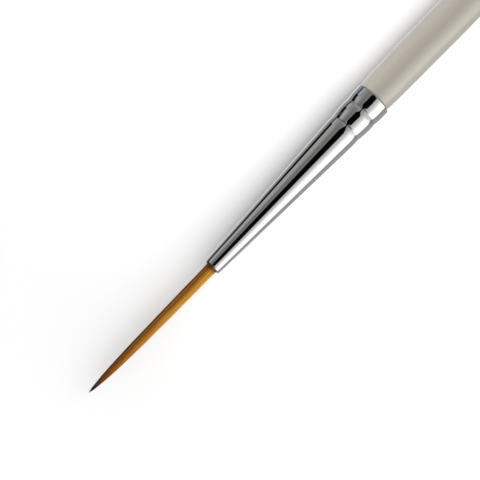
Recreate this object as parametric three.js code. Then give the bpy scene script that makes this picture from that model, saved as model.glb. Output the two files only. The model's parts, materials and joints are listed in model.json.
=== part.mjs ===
// A fine detail brush, lying on a flat surface. Millimetres, +Z up. The brush runs along X with its tip
// at -X and the end of its handle at +X, and it touches Z = 0 under the widest part of the handle.
//
// Lathed pieces have SIDES flat sides. A stated radius is the one at the middle of a side, so one side
// faces straight down, and nested pieces keep the same clearance all the way round.
import * as THREE from "three";

// Lengths along the brush
const TUFT_LENGTH = 24;
const FERRULE_LENGTH = 32.5;
const HANDLE_LENGTH = 126;
const TENON_LENGTH = 12;

// Places along X
const TIP_X = -(TUFT_LENGTH + FERRULE_LENGTH + HANDLE_LENGTH) / 2;
const MOUTH_X = TIP_X + TUFT_LENGTH;

// Ferrule: a seamless tapered tube, crimped twice over the handle's tenon
const FERRULE_WALL = 0.38;
const MOUTH_RADIUS = 1.23;
const MOUTH_BORE_RADIUS = MOUTH_RADIUS - FERRULE_WALL;
const TAPER_LENGTH = 25.8;
const TAPER_END_RADIUS = 2.425;
const REAR_LIP_RADIUS = 2.58;
const LIP_STEPS = 6;
// The crimped stretch, as distance behind the mouth and outer radius: the first crimp at 26.86, the barrel
// between the crimps, the second crimp at 29.98, and the end band with its shallow waist
const CRIMPED_STRETCH = [
  [TAPER_LENGTH, TAPER_END_RADIUS],
  [26.35, 2.442],
  [26.65, 2.435],
  [26.86, 2.405],
  [27.1, 2.455],
  [27.7, 2.53],
  [28.6, 2.6],
  [29.2, 2.612],
  [29.7, 2.585],
  [29.98, 2.535],
  [30.25, 2.605],
  [30.7, 2.665],
  [31.2, 2.682],
  [31.65, 2.674],
  [32.05, 2.69],
  [32.3, 2.66],
  [FERRULE_LENGTH, REAR_LIP_RADIUS],
];

// Handle: turned wood, as distance behind the ferrule and radius, between its shoulder and its rounded end
const BELLY_RADIUS = 2.84;
const HANDLE_OUTLINE = [
  [0.25, 2.5],
  [1.5, 2.59],
  [4, 2.665],
  [8, 2.73],
  [15, 2.79],
  [26, BELLY_RADIUS],
  [38, 2.79],
  [56, 2.55],
  [78, 2.18],
  [100, 1.8],
  [118, 1.54],
  [125.25, 1.38],
];
const SHOULDER_RADIUS = 2.4;
const BUTT_ROUNDING = 0.75;
const BUTT_STEPS = 4;
const AXIS_HEIGHT = BELLY_RADIUS;
const TENON_CHAMFER = 0.5;

// Glue between the tenon and the ferrule, with a clearance on both faces
const GLUE_THICKNESS = 0.06;
const CLEARANCE = 0.03;
const TENON_GAP = GLUE_THICKNESS + 2 * CLEARANCE;

// Tuft: rings of tapered filaments around one in the middle
const FILAMENT_PITCH = 0.2267;
const FILAMENT_RADIUS = 0.1;
const FILAMENT_RINGS = [1, 6, 12, 18];
const FILAMENT_SIDES = 6;
const FILAMENT_STEPS = 8;
const RING_SETBACK = 0.55;
const SETBACKS_PER_RING = 3;
const POINT_LENGTH = 4;
const POINT_SHARE = 0.1;
const BODY_TAPER = 0.17;
const TIP_OFFSET = 0.34;
const TIP_OFFSET_LENGTH = 14;

// The tuft bends about a point just outside the mouth. Its inner end is part of a ball about that point
const PIVOT_OUTSIDE_MOUTH = 0.3;
const PIVOT_X = MOUTH_X - PIVOT_OUTSIDE_MOUTH;
const BALL_RADIUS = 0.8;
const BALL_GAP = 0.08;
const HOLLOW_STEPS = 5;

// Root of the tuft inside the ferrule, the thread around it and the resin behind it
const ROOT_RADIUS = MOUTH_BORE_RADIUS - CLEARANCE;
const ROOT_LENGTH = 7.5;
const THREAD_RADIUS = 0.07;
const THREAD_TURNS = 5;
const THREAD_PITCH = 0.2;
const THREAD_START = 4.7;
const THREAD_SIDES = 6;
const THREAD_STEPS_PER_TURN = 12;
const RESIN_START = 6.2;
const RESIN_END = 11.5;
const RESIN_SOCKET_END = ROOT_LENGTH + CLEARANCE;

const SIDES = 24;

function material(color, roughness, metalness) {
  return new THREE.MeshStandardMaterial({ color, roughness, metalness });
}

const LACQUER = material(0xcfc9bd, 0.25, 0);
const NICKEL = material(0xc9c8c6, 0.12, 1);
const GLUE = material(0xe6dcc0, 0.5, 0);
const RESIN = material(0xb98a4a, 0.2, 0);
const THREAD = material(0xe8e0d0, 0.8, 0);
const BRISTLE = material(0xb5783c, 0.35, 0);

const brush = new THREE.Group();
brush.name = "fine_detail_brush";

function add(name, geometry, pieceMaterial) {
  const mesh = new THREE.Mesh(geometry, pieceMaterial);
  mesh.name = name;
  brush.add(mesh);
  return mesh;
}

// Turns an outline of [distance along the brush, radius] into a solid of revolution about the X axis.
function addTurned(name, outline, startX, pieceMaterial) {
  const acrossFlats = Math.cos(Math.PI / SIDES);
  const points = outline.map(([along, radius]) => new THREE.Vector2(radius / acrossFlats, along));
  const geometry = new THREE.LatheGeometry(points, SIDES, Math.PI / SIDES);
  geometry.rotateZ(-Math.PI / 2);
  const mesh = add(name, geometry, pieceMaterial);
  mesh.position.set(startX, 0, AXIS_HEIGHT);
}

// Points on a smooth curve through [distance, radius] pairs: each pair, and one point between two pairs.
function smoothOutline(pairs) {
  const curve = new THREE.SplineCurve(pairs.map(([along, radius]) => new THREE.Vector2(along, radius)));
  return curve.getPoints(2 * (pairs.length - 1)).map((point) => [point.x, point.y]);
}

// Points on a circular arc, with angles in degrees from the +X direction of the outline.
function arcOutline(centreAlong, centreRadius, arcRadius, fromDegrees, toDegrees, steps) {
  return Array.from({ length: steps + 1 }, (_, i) => {
    const angle = THREE.MathUtils.degToRad(fromDegrees + ((toDegrees - fromDegrees) * i) / steps);
    return [centreAlong + arcRadius * Math.cos(angle), centreRadius + arcRadius * Math.sin(angle)];
  });
}

const crimpedStretch = smoothOutline(CRIMPED_STRETCH);

// The ferrule's inner radius at a distance behind the mouth.
function boreRadius(along) {
  if (along <= TAPER_LENGTH) {
    const outer = THREE.MathUtils.mapLinear(along, 0, TAPER_LENGTH, MOUTH_RADIUS, TAPER_END_RADIUS);
    return outer - FERRULE_WALL;
  }
  const next = crimpedStretch.findIndex(([place]) => place >= along);
  const [[placeA, radiusA], [placeB, radiusB]] = [crimpedStretch[next - 1], crimpedStretch[next]];
  return THREE.MathUtils.mapLinear(along, placeA, placeB, radiusA, radiusB) - FERRULE_WALL;
}

// The bore's outline between two distances, moved inwards by a gap.
function boreOutline(from, to, gap) {
  const between = crimpedStretch.map(([along]) => along).filter((along) => along > from && along < to);
  return [from, ...between, to].map((along) => [along, boreRadius(along) - gap]);
}

function addFerrule() {
  const lipRadius = FERRULE_WALL / 2;
  const lip = arcOutline(lipRadius, MOUTH_RADIUS - lipRadius, lipRadius, -90, -270, LIP_STEPS);
  const bore = boreOutline(lipRadius, FERRULE_LENGTH, 0).reverse();
  addTurned("ferrule", [...lip, ...crimpedStretch, ...bore, lip[0]], MOUTH_X, NICKEL);
}

function addHandle() {
  const tenonStart = FERRULE_LENGTH - TENON_LENGTH;
  const tenon = boreOutline(tenonStart + TENON_CHAMFER, FERRULE_LENGTH, TENON_GAP);
  const tenonNose = [tenonStart, boreRadius(tenonStart) - TENON_GAP - TENON_CHAMFER];
  const shoulderPlace = FERRULE_LENGTH + CLEARANCE;
  const shoulder = [[shoulderPlace, tenon.at(-1)[1]], [shoulderPlace, SHOULDER_RADIUS]];
  const body = smoothOutline(HANDLE_OUTLINE).map(([along, radius]) => [FERRULE_LENGTH + along, radius]);
  const [buttStart, buttRadius] = body.at(-1);
  const butt = arcOutline(buttStart, buttRadius - BUTT_ROUNDING, BUTT_ROUNDING, 90, 0, BUTT_STEPS).slice(1);
  const outline = [[tenonStart, 0], tenonNose, ...tenon, ...shoulder, ...body, ...butt, [butt.at(-1)[0], 0]];
  addTurned("handle", outline, MOUTH_X, LACQUER);
}

function addGlueFilm() {
  const from = FERRULE_LENGTH - TENON_LENGTH + TENON_CHAMFER;
  const to = FERRULE_LENGTH - CLEARANCE;
  const outer = boreOutline(from, to, CLEARANCE);
  const inner = boreOutline(from, to, CLEARANCE + GLUE_THICKNESS).reverse();
  addTurned("tenon_glue", [...inner, ...outer, inner[0]], MOUTH_X, GLUE);
}

// The tuft's root: filament ends set solid in the mouth, hollowed in front to take the ball.
function addTuftRoot() {
  const hollowRadius = BALL_RADIUS + BALL_GAP;
  const hollowEdge = THREE.MathUtils.radToDeg(Math.asin(ROOT_RADIUS / hollowRadius));
  const hollow = arcOutline(-PIVOT_OUTSIDE_MOUTH, 0, hollowRadius, 0, hollowEdge, HOLLOW_STEPS);
  const back = [[ROOT_LENGTH, ROOT_RADIUS], [ROOT_LENGTH, 0]];
  addTurned("tuft_root", [...hollow, ...back], MOUTH_X, RESIN);
}

// The thread that binds the root: a helix.
class Helix extends THREE.Curve {
  getPoint(t, target = new THREE.Vector3()) {
    const angle = t * THREAD_TURNS * 2 * Math.PI;
    const radius = (ROOT_RADIUS + CLEARANCE) / Math.cos(Math.PI / SIDES) + THREAD_RADIUS;
    const along = t * THREAD_TURNS * THREAD_PITCH;
    return target.set(along, radius * Math.cos(angle), radius * Math.sin(angle));
  }
}

function addThread() {
  const corners = Array.from({ length: THREAD_SIDES }, (_, i) => {
    const angle = (2 * Math.PI * i) / THREAD_SIDES;
    return new THREE.Vector2(THREAD_RADIUS * Math.cos(angle), THREAD_RADIUS * Math.sin(angle));
  });
  const geometry = new THREE.ExtrudeGeometry(new THREE.Shape(corners), {
    steps: THREAD_TURNS * THREAD_STEPS_PER_TURN,
    extrudePath: new Helix(),
  });
  const mesh = add("binding_thread", geometry, THREAD);
  mesh.position.set(MOUTH_X + THREAD_START, 0, AXIS_HEIGHT);
}

// Resin behind the thread: it fills the bore around and behind the end of the root.
function addResin() {
  const outer = boreOutline(RESIN_START, RESIN_END, CLEARANCE);
  const socketRadius = ROOT_RADIUS + CLEARANCE;
  const socket = [[RESIN_SOCKET_END, 0], [RESIN_SOCKET_END, socketRadius], [RESIN_START, socketRadius]];
  addTurned("root_resin", [...socket, ...outer, [RESIN_END, 0]], MOUTH_X, RESIN);
}

// The tuft's radius at a distance from the tip, as a share of its radius at the mouth.
function tuftShare(fromTip) {
  const point = 1 - Math.exp(-fromTip / POINT_LENGTH);
  const body = 1 - BODY_TAPER * (1 - fromTip / TUFT_LENGTH);
  return POINT_SHARE + (1 - POINT_SHARE) * point * body;
}

// How far the tuft's centre lies to the side at a distance from the tip.
function tuftOffset(fromTip) {
  const bend = (distance) => Math.exp(-distance / TIP_OFFSET_LENGTH);
  return TIP_OFFSET * (bend(fromTip) - bend(TUFT_LENGTH));
}

// One filament, bent and tapered from a straight prism. It starts on the ball inside the mouth, follows
// the tuft's outline, and ends short of the tip by its ring's setback.
function addFilament(name, ringRadius, angle, setback) {
  const geometry = new THREE.CylinderGeometry(1, 1, 1, FILAMENT_SIDES, FILAMENT_STEPS);
  geometry.rotateZ(Math.PI / 2);
  const [acrossY, acrossZ] = [ringRadius * Math.cos(angle), ringRadius * Math.sin(angle)];
  const position = geometry.getAttribute("position");
  const endX = TIP_X + setback;
  for (let i = 0; i < position.count; i += 1) {
    const share = 0.5 - position.getX(i);
    const x = THREE.MathUtils.lerp(PIVOT_X, endX, share);
    const scale = tuftShare(x - TIP_X);
    const y = scale * (acrossY + FILAMENT_RADIUS * position.getY(i));
    const z = scale * (acrossZ + FILAMENT_RADIUS * position.getZ(i));
    const ball = share > 0 ? 0 : Math.sqrt(BALL_RADIUS ** 2 - y ** 2 - z ** 2);
    position.setXYZ(i, x + ball, y + tuftOffset(x - TIP_X), z);
  }
  const mesh = add(name, geometry, BRISTLE);
  mesh.position.z = AXIS_HEIGHT;
}

function addFilaments() {
  let number = 1;
  FILAMENT_RINGS.forEach((count, ring) => {
    for (let i = 0; i < count; i += 1) {
      const angle = (2 * Math.PI * i) / count;
      const setback = RING_SETBACK * (ring + (i % SETBACKS_PER_RING) / SETBACKS_PER_RING);
      addFilament(`filament_${String(number).padStart(2, "0")}`, ring * FILAMENT_PITCH, angle, setback);
      number += 1;
    }
  });
}

addHandle();
addFerrule();
addGlueFilm();
addResin();
addTuftRoot();
addThread();
addFilaments();

export default brush;
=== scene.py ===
"""The looks of a fine detail brush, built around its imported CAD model.

Metres, +Z up. The brush lies along X, with its tip at -X and the end of its handle at +X.
"""

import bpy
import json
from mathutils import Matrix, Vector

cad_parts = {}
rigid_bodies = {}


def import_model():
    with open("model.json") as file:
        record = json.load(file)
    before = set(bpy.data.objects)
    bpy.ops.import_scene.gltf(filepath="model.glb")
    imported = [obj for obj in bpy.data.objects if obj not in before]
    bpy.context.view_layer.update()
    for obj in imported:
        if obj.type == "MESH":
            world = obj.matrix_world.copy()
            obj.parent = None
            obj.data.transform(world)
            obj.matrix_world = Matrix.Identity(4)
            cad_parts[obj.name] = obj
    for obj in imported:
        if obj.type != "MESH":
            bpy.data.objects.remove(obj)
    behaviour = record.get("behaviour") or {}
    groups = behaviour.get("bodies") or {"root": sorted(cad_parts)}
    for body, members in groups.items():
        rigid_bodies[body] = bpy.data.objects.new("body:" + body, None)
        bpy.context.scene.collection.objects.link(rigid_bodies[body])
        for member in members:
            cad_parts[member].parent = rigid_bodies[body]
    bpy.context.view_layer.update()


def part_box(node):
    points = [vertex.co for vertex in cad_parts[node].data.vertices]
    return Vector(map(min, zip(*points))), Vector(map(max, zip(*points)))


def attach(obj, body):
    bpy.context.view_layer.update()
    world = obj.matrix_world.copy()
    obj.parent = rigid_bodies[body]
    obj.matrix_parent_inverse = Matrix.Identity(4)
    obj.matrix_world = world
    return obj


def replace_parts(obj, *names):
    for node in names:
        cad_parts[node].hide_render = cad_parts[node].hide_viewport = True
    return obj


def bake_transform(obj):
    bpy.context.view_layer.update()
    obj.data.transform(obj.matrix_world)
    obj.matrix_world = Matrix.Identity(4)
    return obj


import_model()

import json
import math
import random

import bpy
from mathutils import Matrix, Vector, noise

MM = 0.001
UM = 0.000001

# Places from the frame
MOUTH_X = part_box("ferrule")[0].x
REAR_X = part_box("ferrule")[1].x
TIP_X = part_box("filament_01")[0].x
BUTT_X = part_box("handle")[1].x
TENON_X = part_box("handle")[0].x
AXIS_Z = (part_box("handle")[0].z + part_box("handle")[1].z) / 2
TUFT_LENGTH = MOUTH_X - TIP_X
RINGS = (1, 6, 12, 18)
RIGID_PIECES = (
    "handle_lacquered", "ferrule_plated", "tenon_glue_film", "tuft_root_set", "root_resin_cured",
    "binding_thread_plied",
)


# ---------------------------------------------------------------- outlines and meshes

def smooth_outline(pairs, steps_per_span):
    """Points on a uniform Catmull-Rom curve through (distance, radius) pairs."""
    ends = [Vector(p) for p in pairs]
    ends = [ends[0] * 2 - ends[1], *ends, ends[-1] * 2 - ends[-2]]
    points = []
    for a, b, c, d in zip(ends, ends[1:], ends[2:], ends[3:]):
        for step in range(steps_per_span):
            t = step / steps_per_span
            cubic = 3 * (b - c) + d - a
            points.append(0.5 * (2 * b + (c - a) * t + (2 * a - 5 * b + 4 * c - d) * t**2 + cubic * t**3))
    points.append(ends[-2])
    return [tuple(p) for p in points]


def arc_outline(centre, radius, from_degrees, to_degrees, steps):
    """Points on a circular arc about a (distance, radius) centre."""
    turn = to_degrees - from_degrees
    angles = [math.radians(from_degrees + turn * i / steps) for i in range(steps + 1)]
    return [(centre[0] + radius * math.cos(a), centre[1] + radius * math.sin(a)) for a in angles]


def in_metres(outline, start_x):
    """An outline of (distance, radius) in millimetres, as (x, radius) in metres."""
    return [(start_x + along * MM, radius * MM) for along, radius in outline]


def placed(place, right, up, back):
    """A world matrix at a place, from its three axes."""
    return Matrix.Translation(place) @ Matrix((right, up, back)).transposed().to_4x4()


def mesh_object(name, vertices, faces, materials, face_materials=None):
    mesh = bpy.data.meshes.new(name)
    mesh.from_pydata(vertices, [], faces)
    for material in materials:
        mesh.materials.append(material)
    if face_materials:
        mesh.polygons.foreach_set("material_index", face_materials)
    mesh.shade_smooth()
    mesh.update()
    piece = bpy.data.objects.new(name, mesh)
    bpy.context.scene.collection.objects.link(piece)
    return piece


def turned(name, outline, segments, materials, wobble=None, material_at=None):
    """A solid of revolution about the brush's axis.

    The outline of (x, radius) starts and ends on the axis, or closes on itself. wobble(x, angle) adds to
    the radius, and material_at(x, radius) picks a slot.
    """
    wobble = wobble or (lambda x, angle: 0.0)
    closed = outline[0][1] > 0
    rings = outline if closed else outline[1:-1]
    vertices = []
    for x, radius in rings:
        for k in range(segments):
            angle = 2 * math.pi * k / segments
            r = radius + wobble(x, angle)
            vertices.append((x, r * math.cos(angle), AXIS_Z + r * math.sin(angle)))
    faces = []
    spans = len(rings) if closed else len(rings) - 1
    for i in range(spans):
        here, there = i * segments, (i + 1) % len(rings) * segments
        for k in range(segments):
            n = (k + 1) % segments
            faces.append((here + k, here + n, there + n, there + k))
    if not closed:
        last = (len(rings) - 1) * segments
        start, end = len(vertices), len(vertices) + 1
        vertices += [(outline[0][0], 0, AXIS_Z), (outline[-1][0], 0, AXIS_Z)]
        faces += [(start, (k + 1) % segments, k) for k in range(segments)]
        faces += [(end, last + k, last + (k + 1) % segments) for k in range(segments)]
    picks = None
    if material_at:
        centres = [sum((Vector(vertices[v]) for v in face), Vector()) / len(face) for face in faces]
        picks = [material_at(c.x, math.hypot(c.y, c.z - AXIS_Z)) for c in centres]
    return mesh_object(name, vertices, faces, materials, picks)


# ---------------------------------------------------------------- materials

RANGE_SOCKETS = ("From Min", "From Max", "To Min", "To Max")


class Nodes:
    """A short way to write a material's node tree."""

    def __init__(self, name):
        self.material = bpy.data.materials.new(name)
        self.material.use_nodes = True
        self.tree = self.material.node_tree
        self.shader = self.tree.nodes["Principled BSDF"]

    def add(self, kind, **settings):
        node = self.tree.nodes.new(kind)
        for key, value in settings.items():
            if key in node.inputs:
                node.inputs[key].default_value = value
            else:
                setattr(node, key, value)
        return node

    def link(self, source, target):
        self.tree.links.new(source, target)

    def set(self, **values):
        """Sets the shader's own sockets; an underscore stands for a space."""
        for key, value in values.items():
            self.shader.inputs[key.replace("_", " ")].default_value = value

    def stretched_noise(self, scale, detail=3.0, roughness=0.5):
        """Noise in the row frame, with scale per metre along X, Y and Z."""
        place = self.add("ShaderNodeTexCoord")
        stretch = self.add("ShaderNodeMapping", Scale=scale)
        texture = self.add("ShaderNodeTexNoise", Scale=1.0, Detail=detail, Roughness=roughness)
        self.link(place.outputs["Object"], stretch.inputs["Vector"])
        self.link(stretch.outputs["Vector"], texture.inputs["Vector"])
        return texture.outputs["Fac"]

    def remap(self, source, low, high, from_low=0.0, from_high=1.0):
        node = self.add("ShaderNodeMapRange")
        for socket, value in zip(RANGE_SOCKETS, (from_low, from_high, low, high)):
            node.inputs[socket].default_value = value
        self.link(source, node.inputs["Value"])
        return node.outputs["Result"]

    def ramp(self, source, stops):
        node = self.add("ShaderNodeValToRGB")
        elements = node.color_ramp.elements
        while len(elements) < len(stops):
            elements.new(0.5)
        for element, (place, colour) in zip(elements, stops):
            element.position = place
            element.color = (*colour, 1)
        self.link(source, node.inputs["Fac"])
        return node.outputs["Color"]

    def colour(self, source, stops):
        """The base colour, as a ramp over source."""
        self.link(self.ramp(source, stops), self.shader.inputs["Base Color"])

    def bump(self, height, distance):
        node = self.add("ShaderNodeBump", Strength=1.0, Distance=distance)
        self.link(height, node.inputs["Height"])
        self.link(node.outputs["Normal"], self.shader.inputs["Normal"])


def nickel_material():
    """Bright nickel plate over drawn brass: fine draw lines round the tube and faint handling smudges."""
    n = Nodes("nickel_plate")
    n.set(Metallic=1.0, Base_Color=(0.66, 0.655, 0.645, 1))
    lines = n.stretched_noise((9000, 250, 250), detail=2.0)
    smudges = n.stretched_noise((180, 320, 320), detail=5.0, roughness=0.6)
    n.link(n.remap(smudges, 0.02, 0.06, 0.42, 0.72), n.shader.inputs["Roughness"])
    n.bump(lines, 0.15 * UM)
    return n.material


def lacquer_material():
    """Pearly off-white lacquer, dipped: a clear gloss over a pigment with a faint pearl shimmer."""
    n = Nodes("pearl_lacquer")
    n.set(Roughness=0.42, Metallic=0.1, Coat_Weight=1.0, Coat_Roughness=0.1, Coat_IOR=1.5)
    clouds = n.stretched_noise((60, 260, 260), detail=4.0)
    n.colour(clouds, [(0.3, (0.46, 0.425, 0.365)), (0.7, (0.49, 0.45, 0.385))])
    n.bump(n.stretched_noise((500, 900, 900), detail=2.0), 1.2 * UM)
    return n.material


def birch_material():
    """Bare turned birch of the tenon: long grain."""
    n = Nodes("birch")
    n.set(Roughness=0.7)
    grain = n.stretched_noise((120, 3500, 3500), detail=6.0, roughness=0.65)
    n.colour(grain, [(0.35, (0.48, 0.32, 0.17)), (0.62, (0.72, 0.55, 0.35))])
    n.bump(grain, 20 * UM)
    return n.material


def filament_material():
    """Golden synthetic filament, darker at its tip, with painted shade on the strands where they enter the
    mouth, each strand a little different.
    """
    n = Nodes("synthetic_filament")
    n.set(Roughness=0.38, Specular_IOR_Level=0.35, Specular_Tint=(1.0, 0.75, 0.45, 1))
    along = n.add("ShaderNodeAttribute", attribute_name="along")
    strand = n.add("ShaderNodeAttribute", attribute_name="strand")
    stops = [
        (0.0, (0.01, 0.008, 0.007)),
        (0.02, (0.03, 0.015, 0.01)),
        (0.083, (0.14, 0.05, 0.012)),
        (0.185, (0.28, 0.095, 0.014)),
        (0.357, (0.385, 0.145, 0.02)),
        (0.583, (0.47, 0.2, 0.026)),
        (0.96, (0.5, 0.228, 0.03)),
        # Painted shade: these last two stops darken the strands where they enter the ferrule's mouth
        (0.975, (0.46, 0.2, 0.026)),
        (0.995, (0.2, 0.07, 0.012)),
    ]
    base = n.ramp(along.outputs["Fac"], stops)
    tints = [(0.0, (0.62, 0.52, 0.4)), (0.5, (1.0, 1.0, 1.0)), (1.0, (1.3, 1.42, 1.6))]
    tint = n.ramp(strand.outputs["Fac"], tints)
    mix = n.add("ShaderNodeMix", data_type="RGBA", blend_type="MULTIPLY")
    mix.inputs["Factor"].default_value = 1.0
    colours = [socket for socket in mix.inputs if socket.type == "RGBA"]
    n.link(base, colours[0])
    n.link(tint, colours[1])
    colour = next(socket for socket in mix.outputs if socket.type == "RGBA")
    n.link(colour, n.shader.inputs["Base Color"])
    return n.material


def resin_material():
    """Cured amber resin."""
    n = Nodes("amber_resin")
    n.set(Roughness=0.15, Transmission_Weight=0.5, IOR=1.55)
    clouds = n.stretched_noise((400, 400, 400), detail=3.0)
    n.colour(clouds, [(0.3, (0.34, 0.15, 0.03)), (0.7, (0.5, 0.26, 0.07))])
    return n.material


def glue_material():
    """Dried wood glue, cream and slightly uneven."""
    n = Nodes("dried_glue")
    n.set(Roughness=0.45)
    clouds = n.stretched_noise((700, 700, 700), detail=4.0)
    n.colour(clouds, [(0.3, (0.6, 0.5, 0.32)), (0.7, (0.78, 0.7, 0.52))])
    n.bump(clouds, 15 * UM)
    return n.material


def thread_material():
    """Off-white cotton binding thread."""
    n = Nodes("cotton_thread")
    n.set(Roughness=0.85, Sheen_Weight=0.3)
    fibres = n.stretched_noise((9000, 9000, 9000), detail=4.0)
    n.colour(fibres, [(0.3, (0.55, 0.5, 0.42)), (0.7, (0.82, 0.78, 0.7))])
    n.bump(fibres, 8 * UM)
    return n.material


# ---------------------------------------------------------------- ferrule and handle

# All outlines are (distance behind the ferrule's mouth, radius) in millimetres
WALL = 0.38
LIP_LENGTH = 0.36
MOUTH_RADIUS = 1.23
TAPER_END = (25.4, 2.409)
# The first crimp at 26.84, the barrel, the second crimp at 29.98, then the end band
CRIMPED_STRETCH = [
    TAPER_END, (25.8, 2.427), (26.0, 2.426), (26.3, 2.4195), (26.6, 2.4045), (26.8, 2.389),
    (26.84, 2.386), (26.88, 2.395), (27.0, 2.424), (27.2, 2.461), (27.4, 2.485), (27.8, 2.525),
    (28.2, 2.56), (28.6, 2.586), (29.0, 2.602), (29.2, 2.602), (29.45, 2.591), (29.7, 2.57),
    (29.94, 2.542), (29.98, 2.537), (30.02, 2.544), (30.12, 2.567), (30.3, 2.6), (30.5, 2.625),
    (31.0, 2.662), (31.4, 2.678), (31.8, 2.682), (32.3, 2.684), (32.46, 2.68), (32.5, 2.65),
]
# Gaps from the bore: bonded pieces, and the inside of the glue
BOND_GAP = 0.03
GLUE_DEPTH = 0.09
FERRULE_SEGMENTS = 160
HANDLE_SEGMENTS = 120


def outer_radius(along):
    """The ferrule's outer radius at a distance behind its mouth."""
    if along <= TAPER_END[0]:
        return MOUTH_RADIUS + (TAPER_END[1] - MOUTH_RADIUS) * along / TAPER_END[0]
    fine = smooth_outline(CRIMPED_STRETCH, 12)
    for (a, ra), (b, rb) in zip(fine, fine[1:]):
        if along <= b:
            return ra + (rb - ra) * (along - a) / (b - a)
    return fine[-1][1]


def bore_outline(start, end, gap, steps):
    """The ferrule's bore between two distances, drawn in by a gap."""
    places = [start + (end - start) * i / steps for i in range(steps + 1)]
    return [(p, outer_radius(p) - WALL - gap) for p in places]


def make_ferrule():
    """A tapered tube with a rounded lip at its mouth and two crimps near its rear."""
    arc = arc_outline((0, 0), WALL / 2, -90, -270, 16)
    lip = [
        (LIP_LENGTH * (1 + along / (WALL / 2)), outer_radius(LIP_LENGTH) - WALL / 2 + radius)
        for along, radius in arc
    ]
    taper = [(p, outer_radius(p)) for p in (3, 8, 13, 18, 23)]
    crimps = smooth_outline(CRIMPED_STRETCH, 10)
    bore = bore_outline(0.6, 32.45, 0, 50)[::-1]
    outline = [*lip, *taper, *crimps, *bore]
    piece = turned("ferrule_plated", in_metres(outline, MOUTH_X), FERRULE_SEGMENTS, [nickel_material()])
    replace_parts(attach(piece, "brush_body"), "ferrule")


# Behind the ferrule: (distance behind its rear edge, radius)
HANDLE_OUTLINE = [
    (0.25, 2.5), (1.5, 2.59), (4, 2.665), (8, 2.73), (15, 2.79), (26, 2.84), (38, 2.79), (56, 2.55),
    (78, 2.18), (100, 1.8), (118, 1.54), (125.25, 1.38),
]
SHOULDER_RADIUS = 2.4
SHOULDER_GAP = 0.03
BUTT_ROUNDING = 0.75
TENON_GAP = 0.12
TENON_CHAMFER = 0.5
HANDLE_LEAN = 0.11 * MM
HANDLE_LEAN_LENGTH = 15 * MM


def make_handle():
    """A chamfered birch tenon, then the lacquered handle up to its rounded, dimpled end."""
    length = (REAR_X - MOUTH_X) / MM
    tenon_start = (TENON_X - MOUTH_X) / MM
    tenon = bore_outline(tenon_start + TENON_CHAMFER, length, TENON_GAP, 30)
    nose = [(tenon_start, 0), (tenon_start, tenon[0][1] - TENON_CHAMFER)]
    shoulder = arc_outline((length + 0.25, SHOULDER_RADIUS - 0.12), 0.22, 170, 95, 6)
    shoulder = [(length + SHOULDER_GAP, tenon[-1][1]), *shoulder]
    body = [(length + a, r) for a, r in smooth_outline(HANDLE_OUTLINE, 10)]
    end, end_radius = body[-1]
    butt = arc_outline((end, end_radius - BUTT_ROUNDING), BUTT_ROUNDING, 90, 0, 10)[1:]
    flat = end + BUTT_ROUNDING
    dimple = [(flat, 0.34), (flat - 0.1, 0.2), (flat - 0.14, 0)]
    outline = in_metres([*nose, *tenon, *shoulder, *body, *butt, *dimple], MOUTH_X)

    def dip_wobble(x, angle):
        """Waves in the dipped lacquer, and the handle's slight lean where it leaves the ferrule."""
        if x < REAR_X or x > BUTT_X - 2 * MM:
            return 0.0
        place = Vector((x * 140, 1.1 * math.cos(angle), 1.1 * math.sin(angle)))
        lean = HANDLE_LEAN * max(0.0, 1 - ((x - REAR_X) / HANDLE_LEAN_LENGTH) ** 2)
        return 0.008 * MM * (noise.noise(place) - 0.5) + lean * math.cos(angle)

    materials = [lacquer_material(), birch_material()]
    piece = turned(
        "handle_lacquered", outline, HANDLE_SEGMENTS, materials, dip_wobble,
        lambda x, radius: 0 if x > REAR_X else 1,
    )
    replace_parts(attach(piece, "brush_body"), "handle")


def make_glue():
    """A thin sleeve of glue between the tenon and the ferrule."""
    lo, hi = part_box("tenon_glue")
    start, end = (lo.x - MOUTH_X) / MM, (hi.x - MOUTH_X) / MM
    outline = [*bore_outline(start, end, BOND_GAP, 24), *bore_outline(start, end, GLUE_DEPTH, 24)[::-1]]
    piece = turned("tenon_glue_film", in_metres(outline, MOUTH_X), 96, [glue_material()])
    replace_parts(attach(piece, "brush_body"), "tenon_glue")


# ---------------------------------------------------------------- root of the tuft

ROOT_RADIUS = 0.82
ROOT_FRONT = 1.2
THREAD_PLY_RADIUS = 0.036
THREAD_TURNS = 5
THREAD_END_ROOM = 0.14
THREAD_STEPS_PER_TURN = 90
PLY_TWISTS_PER_TURN = 9


def make_root(resin):
    """The filaments' hidden ends, set in resin, with a hollow front face."""
    end = (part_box("tuft_root")[1].x - MOUTH_X) / MM
    outline = [
        (ROOT_FRONT + 0.25, 0), (ROOT_FRONT + 0.22, 0.3), (ROOT_FRONT + 0.12, 0.6),
        (ROOT_FRONT, ROOT_RADIUS - 0.02), (ROOT_FRONT + 0.02, ROOT_RADIUS),
        (end - 0.05, ROOT_RADIUS), (end, ROOT_RADIUS - 0.05), (end, 0),
    ]
    piece = turned("tuft_root_set", in_metres(outline, MOUTH_X), 96, [resin])
    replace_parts(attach(piece, "brush_body"), "tuft_root")


def make_resin(resin):
    """The plug round the root, with a hollow rear face."""
    lo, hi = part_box("root_resin")
    start, end = (lo.x - MOUTH_X) / MM, (hi.x - MOUTH_X) / MM
    socket = (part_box("tuft_root")[1].x - MOUTH_X) / MM + BOND_GAP
    socket_radius = ROOT_RADIUS + BOND_GAP
    meniscus = [(end - 0.02, 1.0), (end - 0.25, 0.7), (end - 0.35, 0.35), (end - 0.38, 0)]
    outline = [
        (socket, 0), (socket, socket_radius), (start, socket_radius),
        *bore_outline(start, end, BOND_GAP, 12), *meniscus,
    ]
    piece = turned("root_resin_cured", in_metres(outline, MOUTH_X), 96, [resin])
    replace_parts(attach(piece, "brush_body"), "root_resin")


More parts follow.
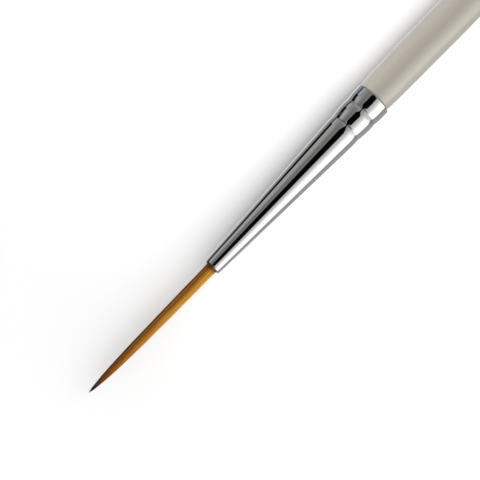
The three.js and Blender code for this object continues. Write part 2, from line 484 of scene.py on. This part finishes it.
def tube(points, radii, sides):
    """Vertices and faces of a closed tube through points, with a radius for each."""
    vertices, faces = [], []
    side = Vector((0, 0, 1))
    for i, point in enumerate(points):
        ahead = (points[min(i + 1, len(points) - 1)] - points[max(i - 1, 0)]).normalized()
        side = (side - ahead * side.dot(ahead)).normalized()
        other = ahead.cross(side)
        for k in range(sides):
            angle = 2 * math.pi * k / sides
            vertices.append(point + radii[i] * (side * math.cos(angle) + other * math.sin(angle)))
    for i in range(len(points) - 1):
        for k in range(sides):
            n = (k + 1) % sides
            faces.append((i * sides + k, i * sides + n, (i + 1) * sides + n, (i + 1) * sides + k))
    faces.append(tuple(range(sides - 1, -1, -1)))
    faces.append(tuple((len(points) - 1) * sides + k for k in range(sides)))
    return vertices, faces


def joined(parts):
    """One list of vertices and one of faces from several (vertices, faces)."""
    vertices, faces = [], []
    for part_vertices, part_faces in parts:
        faces += [tuple(v + len(vertices) for v in face) for face in part_faces]
        vertices += part_vertices
    return vertices, faces


def make_thread():
    """Two plies twisted together and wound round the root."""
    lo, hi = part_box("binding_thread")
    centre_radius = (hi.z - lo.z) / 2 - 2 * THREAD_PLY_RADIUS * MM
    start = lo.x + 2 * THREAD_PLY_RADIUS * MM
    pitch = (hi.x - lo.x - THREAD_END_ROOM * MM) / THREAD_TURNS
    steps = THREAD_TURNS * THREAD_STEPS_PER_TURN

    def ply(phase):
        points = []
        for i in range(steps + 1):
            turn = i / THREAD_STEPS_PER_TURN
            angle = 2 * math.pi * turn
            twist = 2 * math.pi * turn * PLY_TWISTS_PER_TURN + phase
            radius = centre_radius + THREAD_PLY_RADIUS * MM * math.cos(twist)
            x = start + turn * pitch + THREAD_PLY_RADIUS * MM * math.sin(twist)
            points.append(Vector((x, radius * math.cos(angle), AXIS_Z + radius * math.sin(angle))))
        return tube(points, [THREAD_PLY_RADIUS * MM] * len(points), 8)

    vertices, faces = joined([ply(0), ply(math.pi)])
    piece = mesh_object("binding_thread_plied", vertices, faces, [thread_material()])
    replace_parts(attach(piece, "brush_body"), "binding_thread")


# ---------------------------------------------------------------- tuft

STRANDS_PER_NODE = 5
STRAND_RADIUS = 0.047 * MM
PACKED_RADIUS = 0.785 * MM
STRAND_SIDES = 6
STRAND_STEPS = 34
INSIDE_MOUTH = 1.6 * MM
POINT_LENGTH = 3.8 * MM
TIP_SHARE = 0.1
BODY_TAPER = 0.17
TIP_OFFSET = 0.36 * MM
TIP_OFFSET_LENGTH = 14 * MM
TUFT_TWIST = math.radians(14)


def tuft_share(from_tip):
    """The tuft's radius at a distance from the tip, as a share of its radius at the mouth."""
    if from_tip >= TUFT_LENGTH:
        return 1.0
    point = 1 - math.exp(-from_tip / POINT_LENGTH)
    body = 1 - BODY_TAPER * (1 - from_tip / TUFT_LENGTH)
    return TIP_SHARE + (1 - TIP_SHARE) * point * body


def tuft_offset(from_tip):
    """How far the tuft's centre lies to the side at a distance from the tip."""
    bend = math.exp(-max(from_tip, 0) / TIP_OFFSET_LENGTH) - math.exp(-TUFT_LENGTH / TIP_OFFSET_LENGTH)
    return TIP_OFFSET * max(bend, 0)


def strand(radius, angle, setback, draw):
    """One filament, from inside the mouth to near the tip: vertices, faces and each vertex's place on it."""
    waves = [
        (draw.uniform(4, 9) * MM, draw.uniform(0, 2 * math.pi), draw.uniform(0.002, 0.008) * MM)
        for _ in range(4)
    ]
    points, radii, along = [], [], []
    first, last = TUFT_LENGTH + INSIDE_MOUTH, setback
    for i in range(STRAND_STEPS + 1):
        t = i / STRAND_STEPS
        from_tip = first + (last - first) * (1 - (1 - t) ** 1.35)
        share = tuft_share(from_tip)
        turned_by = angle + TUFT_TWIST * (1 - min(from_tip / TUFT_LENGTH, 1))
        wave = [
            depth * math.sin(2 * math.pi * from_tip / length + phase) for length, phase, depth in waves
        ]
        y = share * (radius * math.cos(turned_by) + wave[0] + wave[1]) + tuft_offset(from_tip)
        z = share * (radius * math.sin(turned_by) + wave[2] + wave[3])
        points.append(Vector((TIP_X + from_tip, y, AXIS_Z + z)))
        radii.append(STRAND_RADIUS * max(share, 0.12) * (0.35 if i == STRAND_STEPS else 1))
        along += [from_tip / TUFT_LENGTH] * STRAND_SIDES
    return (*tube(points, radii, STRAND_SIDES), along)


def make_strands(name, node, places, material, draw):
    """The strands that replace one CAD filament."""
    parts, along, tint = [], [], []
    for radius, angle, setback in places:
        vertices, faces, strand_along = strand(radius, angle, setback, draw)
        parts.append((vertices, faces))
        along += strand_along
        tint += [draw.random()] * len(vertices)
    vertices, faces = joined(parts)
    piece = mesh_object(name, vertices, faces, [material])
    for attribute, values in (("along", along), ("strand", tint)):
        piece.data.attributes.new(attribute, "FLOAT", "POINT").data.foreach_set("value", values)
    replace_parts(piece, node)
    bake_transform(piece)


def make_tuft():
    """Filaments packed like the seeds of a sunflower, five to each CAD filament, ring by ring."""
    draw = random.Random(7)
    material = filament_material()
    total = sum(RINGS) * STRANDS_PER_NODE
    golden_angle = math.pi * (3 - math.sqrt(5))
    number, taken = 1, 0
    for ring, count in enumerate(RINGS):
        places = []
        for i in range(taken, taken + count * STRANDS_PER_NODE):
            radius = PACKED_RADIUS * math.sqrt((i + 0.5) / total)
            setback = draw.uniform(0, 0.25 + 0.45 * ring) * MM
            places.append((radius, (i * golden_angle) % (2 * math.pi), setback))
        places.sort(key=lambda place: place[1])
        for k in range(count):
            group = places[k * STRANDS_PER_NODE:(k + 1) * STRANDS_PER_NODE]
            node = f"filament_{number:02d}"
            make_strands(f"{node}_strands", node, group, material, draw)
            number += 1
        taken += count * STRANDS_PER_NODE


# ---------------------------------------------------------------- floor, light and camera

CAMERA_DISTANCE = 0.5
CAMERA_TILT = math.radians(7)
AXIS_ROLL = math.radians(46.21)
VIEW_WIDTH = 65.8 * MM
VIEW_CENTRE_FROM_TIP = 29.5 * MM
VIEW_CENTRE_SIDE = -0.185 * MM
SENSOR_MM = 36.0


def make_camera():
    """Above the brush, tilted a little towards its tip, and turned so that the brush rises to the right."""
    target = Vector((TIP_X + VIEW_CENTRE_FROM_TIP, VIEW_CENTRE_SIDE, AXIS_Z))
    back = Vector((-math.sin(CAMERA_TILT), 0, math.cos(CAMERA_TILT)))
    along = Vector((math.cos(CAMERA_TILT), 0, math.sin(CAMERA_TILT)))
    side = Vector((0, 1, 0))
    right = along * math.cos(AXIS_ROLL) - side * math.sin(AXIS_ROLL)
    up = along * math.sin(AXIS_ROLL) + side * math.cos(AXIS_ROLL)
    camera = bpy.data.objects.new("camera", bpy.data.cameras.new("camera"))
    camera.matrix_world = placed(target + back * CAMERA_DISTANCE, right, up, back)
    camera.data.sensor_width = SENSOR_MM
    camera.data.lens = SENSOR_MM * CAMERA_DISTANCE / VIEW_WIDTH
    camera.data.clip_start = 0.01
    bpy.context.scene.collection.objects.link(camera)
    bpy.context.scene.camera = camera


# Painted shade: the paper's tone falls towards the tip, so that the brush's shadow there is deeper
PAPER_SHADE_CHANGE = (-86 * MM, -22 * MM)
PAPER_SHADE_TONES = (0.585, 0.84)
PAPER_HALF = 3.0


def make_floor():
    """A wide sheet of pale paper, greyer towards the tip as painted shade that deepens the brush's shadow
    there.
    """
    material = bpy.data.materials.new("white_paper")
    material.use_nodes = True
    shader = material.node_tree.nodes["Principled BSDF"]
    place = material.node_tree.nodes.new("ShaderNodeTexCoord")
    split = material.node_tree.nodes.new("ShaderNodeSeparateXYZ")
    shade_tone = material.node_tree.nodes.new("ShaderNodeMapRange")
    shade_tone.interpolation_type = "SMOOTHSTEP"
    for socket, value in zip(RANGE_SOCKETS, (*PAPER_SHADE_CHANGE, *PAPER_SHADE_TONES)):
        shade_tone.inputs[socket].default_value = value
    material.node_tree.links.new(place.outputs["Object"], split.inputs[0])
    material.node_tree.links.new(split.outputs["X"], shade_tone.inputs["Value"])
    material.node_tree.links.new(shade_tone.outputs["Result"], shader.inputs["Base Color"])
    shader.inputs["Roughness"].default_value = 0.9
    shader.inputs["Specular IOR Level"].default_value = 0.0
    corners = [(x * PAPER_HALF, y * PAPER_HALF, 0) for x, y in ((-1, -1), (1, -1), (1, 1), (-1, 1))]
    floor = mesh_object("paper_floor", corners, [(0, 1, 2, 3)], [material])
    floor.visible_glossy = False
    return floor


# What shiny surfaces reflect, as (degrees, brightness) by the angle from straight up, turned about the
# brush's axis and positive towards -Y. A soft box hangs on that side, and grey walls on the other. The four
# lists follow one another along the brush, from its tip to its handle.
SEEN_TOWARDS_TIP = [
    (-180, 0.5), (-165, 0.35), (-125, 0.3), (-108, 0.02), (-80, 0.02), (-72, 0.12), (-30, 0.14),
    (0, 0.3), (6, 0.1), (26, 0.12), (42, 0.6), (54, 1.3), (90, 1.6), (97, 0.35), (165, 0.4),
    (180, 0.8),
]
SEEN_LOW = [
    (-180, 1.3), (-152, 0.95), (-140, 0.46), (-113, 0.34), (-106, 0.42), (-84, 0.5), (-66, 0.52),
    (-50, 0.28), (-40, 0.2), (-24, 0.26), (10, 0.4), (20, 0.66), (30, 0.76), (40, 1.04), (50, 1.4),
    (56, 1.8), (91, 1.8), (96, 0.5), (103, 0.4), (114, 0.44), (165, 0.48), (180, 1.2),
]
SEEN_HIGH = [
    (-180, 1.3), (-152, 0.95), (-140, 0.44), (-125, 0.4), (-109, 0.27), (-107, 0.04), (-98, 0.04),
    (-95, 0.5), (-82, 0.56), (-76, 0.36), (-60, 0.34), (-45, 0.23), (-25, 0.26), (12, 0.4),
    (24, 0.62), (40, 0.98), (50, 1.16), (62, 1.22), (75, 1.4), (88, 1.4), (92, 0.3), (103, 0.25),
    (115, 0.38), (165, 0.42), (180, 1.2),
]
SEEN_TOWARDS_HANDLE = [
    (-180, 0.8), (-165, 0.4), (-115, 0.25), (-100, 0.12), (-85, 0.3), (-60, 0.34), (-25, 0.34),
    (5, 0.4), (20, 0.55), (40, 0.75), (60, 0.8), (76, 0.9), (86, 0.6), (94, 0.3), (165, 0.4),
    (180, 0.8),
]
BRIGHTEST = 2.0
# Where one gives way to the next, in degrees along the brush: (middle, half width). The soft box, on its
# own side, reaches further than the walls do.
CHANGES = [(-13, 5), (4.8, 2.5), (17, 3)]
SOFT_BOX_CHANGE = 13
# Black cards in front of the walls: (from, to, softness) about the axis, then the same along the brush
CARDS = [((-109, -82, 4), (-60, 1.7, 1.2)), ((-111, -87, 3), (1.7, 6.4, 0.8))]
CARD_SHARE = 0.012
# The studio is dim beyond the tip
DIM_END = (-30, 8)
DIM_END_SHARE = 0.3
# A pale blue window among the walls: (edge, softness) about the axis, then along the brush
WINDOW_TINT = (0.86, 0.98, 1.14)
WINDOW_EDGES = ((-98, 4), (-77, 6))
WINDOW_ALONG = (6.8, 1.2)
# The dark patch overhead, where the camera stands: its half width depends on the angle along the brush
DARK_CENTRE = -3
DARK_DRIFT = -0.2
DARK_MIDDLE_ALONG = 6
DARK_SHARE = 0.01
DARK_HALF_WIDTHS = [
    (-90, 14), (-36, 14), (-24, 4), (-14, 7), (-9, 13), (-4, 19), (9.5, 19), (12, 14), (15, 8),
    (18, 4.5), (26, 3), (36, 4), (48, 14), (90, 14),
]
PANEL_DISTANCE = 12
PANEL_LENGTH = 72


def make_reflections():
    """The world: seen by shiny surfaces and, as plain white, by the camera. It lights nothing else."""
    world = bpy.data.worlds.new("studio")
    bpy.context.scene.world = world
    world.use_nodes = True
    world.cycles_visibility.diffuse = False
    tree = world.node_tree
    nodes, links = tree.nodes, tree.links

    def math_node(operation, *values):
        node = nodes.new("ShaderNodeMath")
        node.operation = operation
        for socket, value in zip(node.inputs, values):
            if isinstance(value, (int, float)):
                socket.default_value = value
            else:
                links.new(value, socket)
        return node.outputs[0]

    def step_up(value, edge, soft):
        """0 where value is below edge, 1 above it, with a soft change."""
        node = nodes.new("ShaderNodeMapRange")
        node.interpolation_type = "SMOOTHSTEP"
        for socket, number in zip(("From Min", "From Max"), (-soft, soft)):
            node.inputs[socket].default_value = number
        links.new(math_node("SUBTRACT", value, edge), node.inputs["Value"])
        return node.outputs["Result"]

    def between(value, low, high, soft):
        return math_node("SUBTRACT", step_up(value, low, soft), step_up(value, high, soft))

    def ramp(degrees, low, high, stops, scale):
        """A curve of brightness over an angle between low and high."""
        node = nodes.new("ShaderNodeValToRGB")
        elements = node.color_ramp.elements
        while len(elements) < len(stops):
            elements.new(0.5)
        for element, (angle, brightness) in zip(elements, stops):
            element.position = (angle - low) / (high - low)
            element.color = (*[brightness / scale] * 3, 1)
        links.new(math_node("DIVIDE", math_node("SUBTRACT", degrees, low), high - low), node.inputs["Fac"])
        return math_node("MULTIPLY", node.outputs["Color"], scale)

    def mix(share, first, second):
        return math_node("ADD", first, math_node("MULTIPLY", share, math_node("SUBTRACT", second, first)))

    place = nodes.new("ShaderNodeTexCoord")
    split = nodes.new("ShaderNodeSeparateXYZ")
    links.new(place.outputs["Generated"], split.inputs[0])
    x, y, z = split.outputs
    around = math_node("MULTIPLY", math_node("ARCTAN2", math_node("MULTIPLY", y, -1.0), z), 180 / math.pi)
    along = math_node("MULTIPLY", math_node("ARCSINE", x), 180 / math.pi)

    seen = ramp(around, -180, 180, SEEN_TOWARDS_TIP, BRIGHTEST)
    for (middle, soft), stops in zip(CHANGES, (SEEN_LOW, SEEN_HIGH, SEEN_TOWARDS_HANDLE)):
        if stops is SEEN_HIGH:
            # Later on the soft box's side
            middle = mix(step_up(around, 0, 10), middle, SOFT_BOX_CHANGE)
        seen = mix(step_up(along, middle, soft), seen, ramp(around, -180, 180, stops, BRIGHTEST))
    seen = math_node("MULTIPLY", seen, mix(step_up(along, *DIM_END), DIM_END_SHARE, 1.0))

    for card_around, card_along in CARDS:
        on_card = math_node("MULTIPLY", between(around, *card_around), between(along, *card_along))
        seen = math_node("MULTIPLY", seen, mix(on_card, 1.0, CARD_SHARE))

    from_middle = math_node("ABSOLUTE", math_node("SUBTRACT", along, DARK_MIDDLE_ALONG))
    centre = math_node("ADD", math_node("MULTIPLY", from_middle, DARK_DRIFT), DARK_CENTRE)
    half_width = ramp(along, -90, 90, DARK_HALF_WIDTHS, 20)
    off_centre = math_node("ABSOLUTE", math_node("SUBTRACT", around, centre))
    seen = math_node("MULTIPLY", seen, mix(step_up(off_centre, half_width, 1.0), DARK_SHARE, 1.0))

    window = nodes.new("ShaderNodeMix")
    window.data_type = "RGBA"
    above, below = (step_up(around, *edge) for edge in WINDOW_EDGES)
    in_window = math_node("MULTIPLY", above, math_node("SUBTRACT", 1.0, below))
    colours = [socket for socket in window.inputs if socket.type == "RGBA"]
    colours[0].default_value = (1, 1, 1, 1)
    colours[1].default_value = (*WINDOW_TINT, 1)
    links.new(math_node("MULTIPLY", in_window, step_up(along, *WINDOW_ALONG)), window.inputs["Factor"])
    tint = next(socket for socket in window.outputs if socket.type == "RGBA")
    links.new(tint, nodes["Background"].inputs["Color"])

    rays = nodes.new("ShaderNodeLightPath")
    links.new(mix(rays.outputs["Is Camera Ray"], seen, 1.0), nodes["Background"].inputs["Strength"])


def collection_of(name, pieces):
    """A collection that is only for light linking."""
    collection = bpy.data.collections.new(name)
    for piece in pieces:
        collection.objects.link(piece)
    return collection


def light_panel(name, from_degrees, to_degrees, brightness, lit, colour=(1, 1, 1)):
    """A long soft panel parallel to the brush, between two angles from straight up, for some pieces."""
    ends = [
        Vector((0, -math.sin(math.radians(a)), math.cos(math.radians(a)))) * PANEL_DISTANCE
        for a in (from_degrees, to_degrees)
    ]
    centre = (ends[0] + ends[1]) / 2
    width = (ends[1] - ends[0]).length
    back = centre.normalized()
    along = Vector((1, 0, 0))
    panel = bpy.data.objects.new(name, bpy.data.lights.new(name, "AREA"))
    panel.data.shape = "RECTANGLE"
    panel.data.size = PANEL_LENGTH
    panel.data.size_y = width
    panel.data.energy = brightness * math.pi * PANEL_LENGTH * width
    panel.data.color = colour
    panel.matrix_world = placed(centre, along, back.cross(along), back)
    panel.visible_glossy = False
    panel.visible_camera = False
    bpy.context.scene.collection.objects.link(panel)
    panel.light_linking.receiver_collection = lit


def make_light(floor):
    """The world's reflections, then a strong side and a weak side for the paper, the tuft and the rest."""
    make_reflections()
    strands = [piece for piece in bpy.context.scene.objects if piece.name.endswith("_strands")]
    table = collection_of("table", [floor])
    tuft = collection_of("tuft_strands", strands)
    body = collection_of("brush_body_pieces", [bpy.data.objects[name] for name in RIGID_PIECES])
    light_panel("table_key", 0, 90, 2.75, table)
    light_panel("table_fill", -90, 0, 0.7, table)
    light_panel("tuft_key", 30, 76, 4.5, tuft, (0.96, 1.06, 0.85))
    light_panel("tuft_fill", -90, 0, 0.22, tuft, (1.0, 0.36, 0.2))
    light_panel("body_right", 8, 90, 1.0, body)
    light_panel("body_left", -90, 0, 0.86, body)
    light_panel("body_side", -90, -66, 1.6, body)


make_handle()
make_ferrule()
make_glue()
resin = resin_material()
make_root(resin)
make_resin(resin)
make_thread()
make_tuft()
make_light(make_floor())
make_camera()
bpy.context.scene.view_settings.view_transform = "Standard"
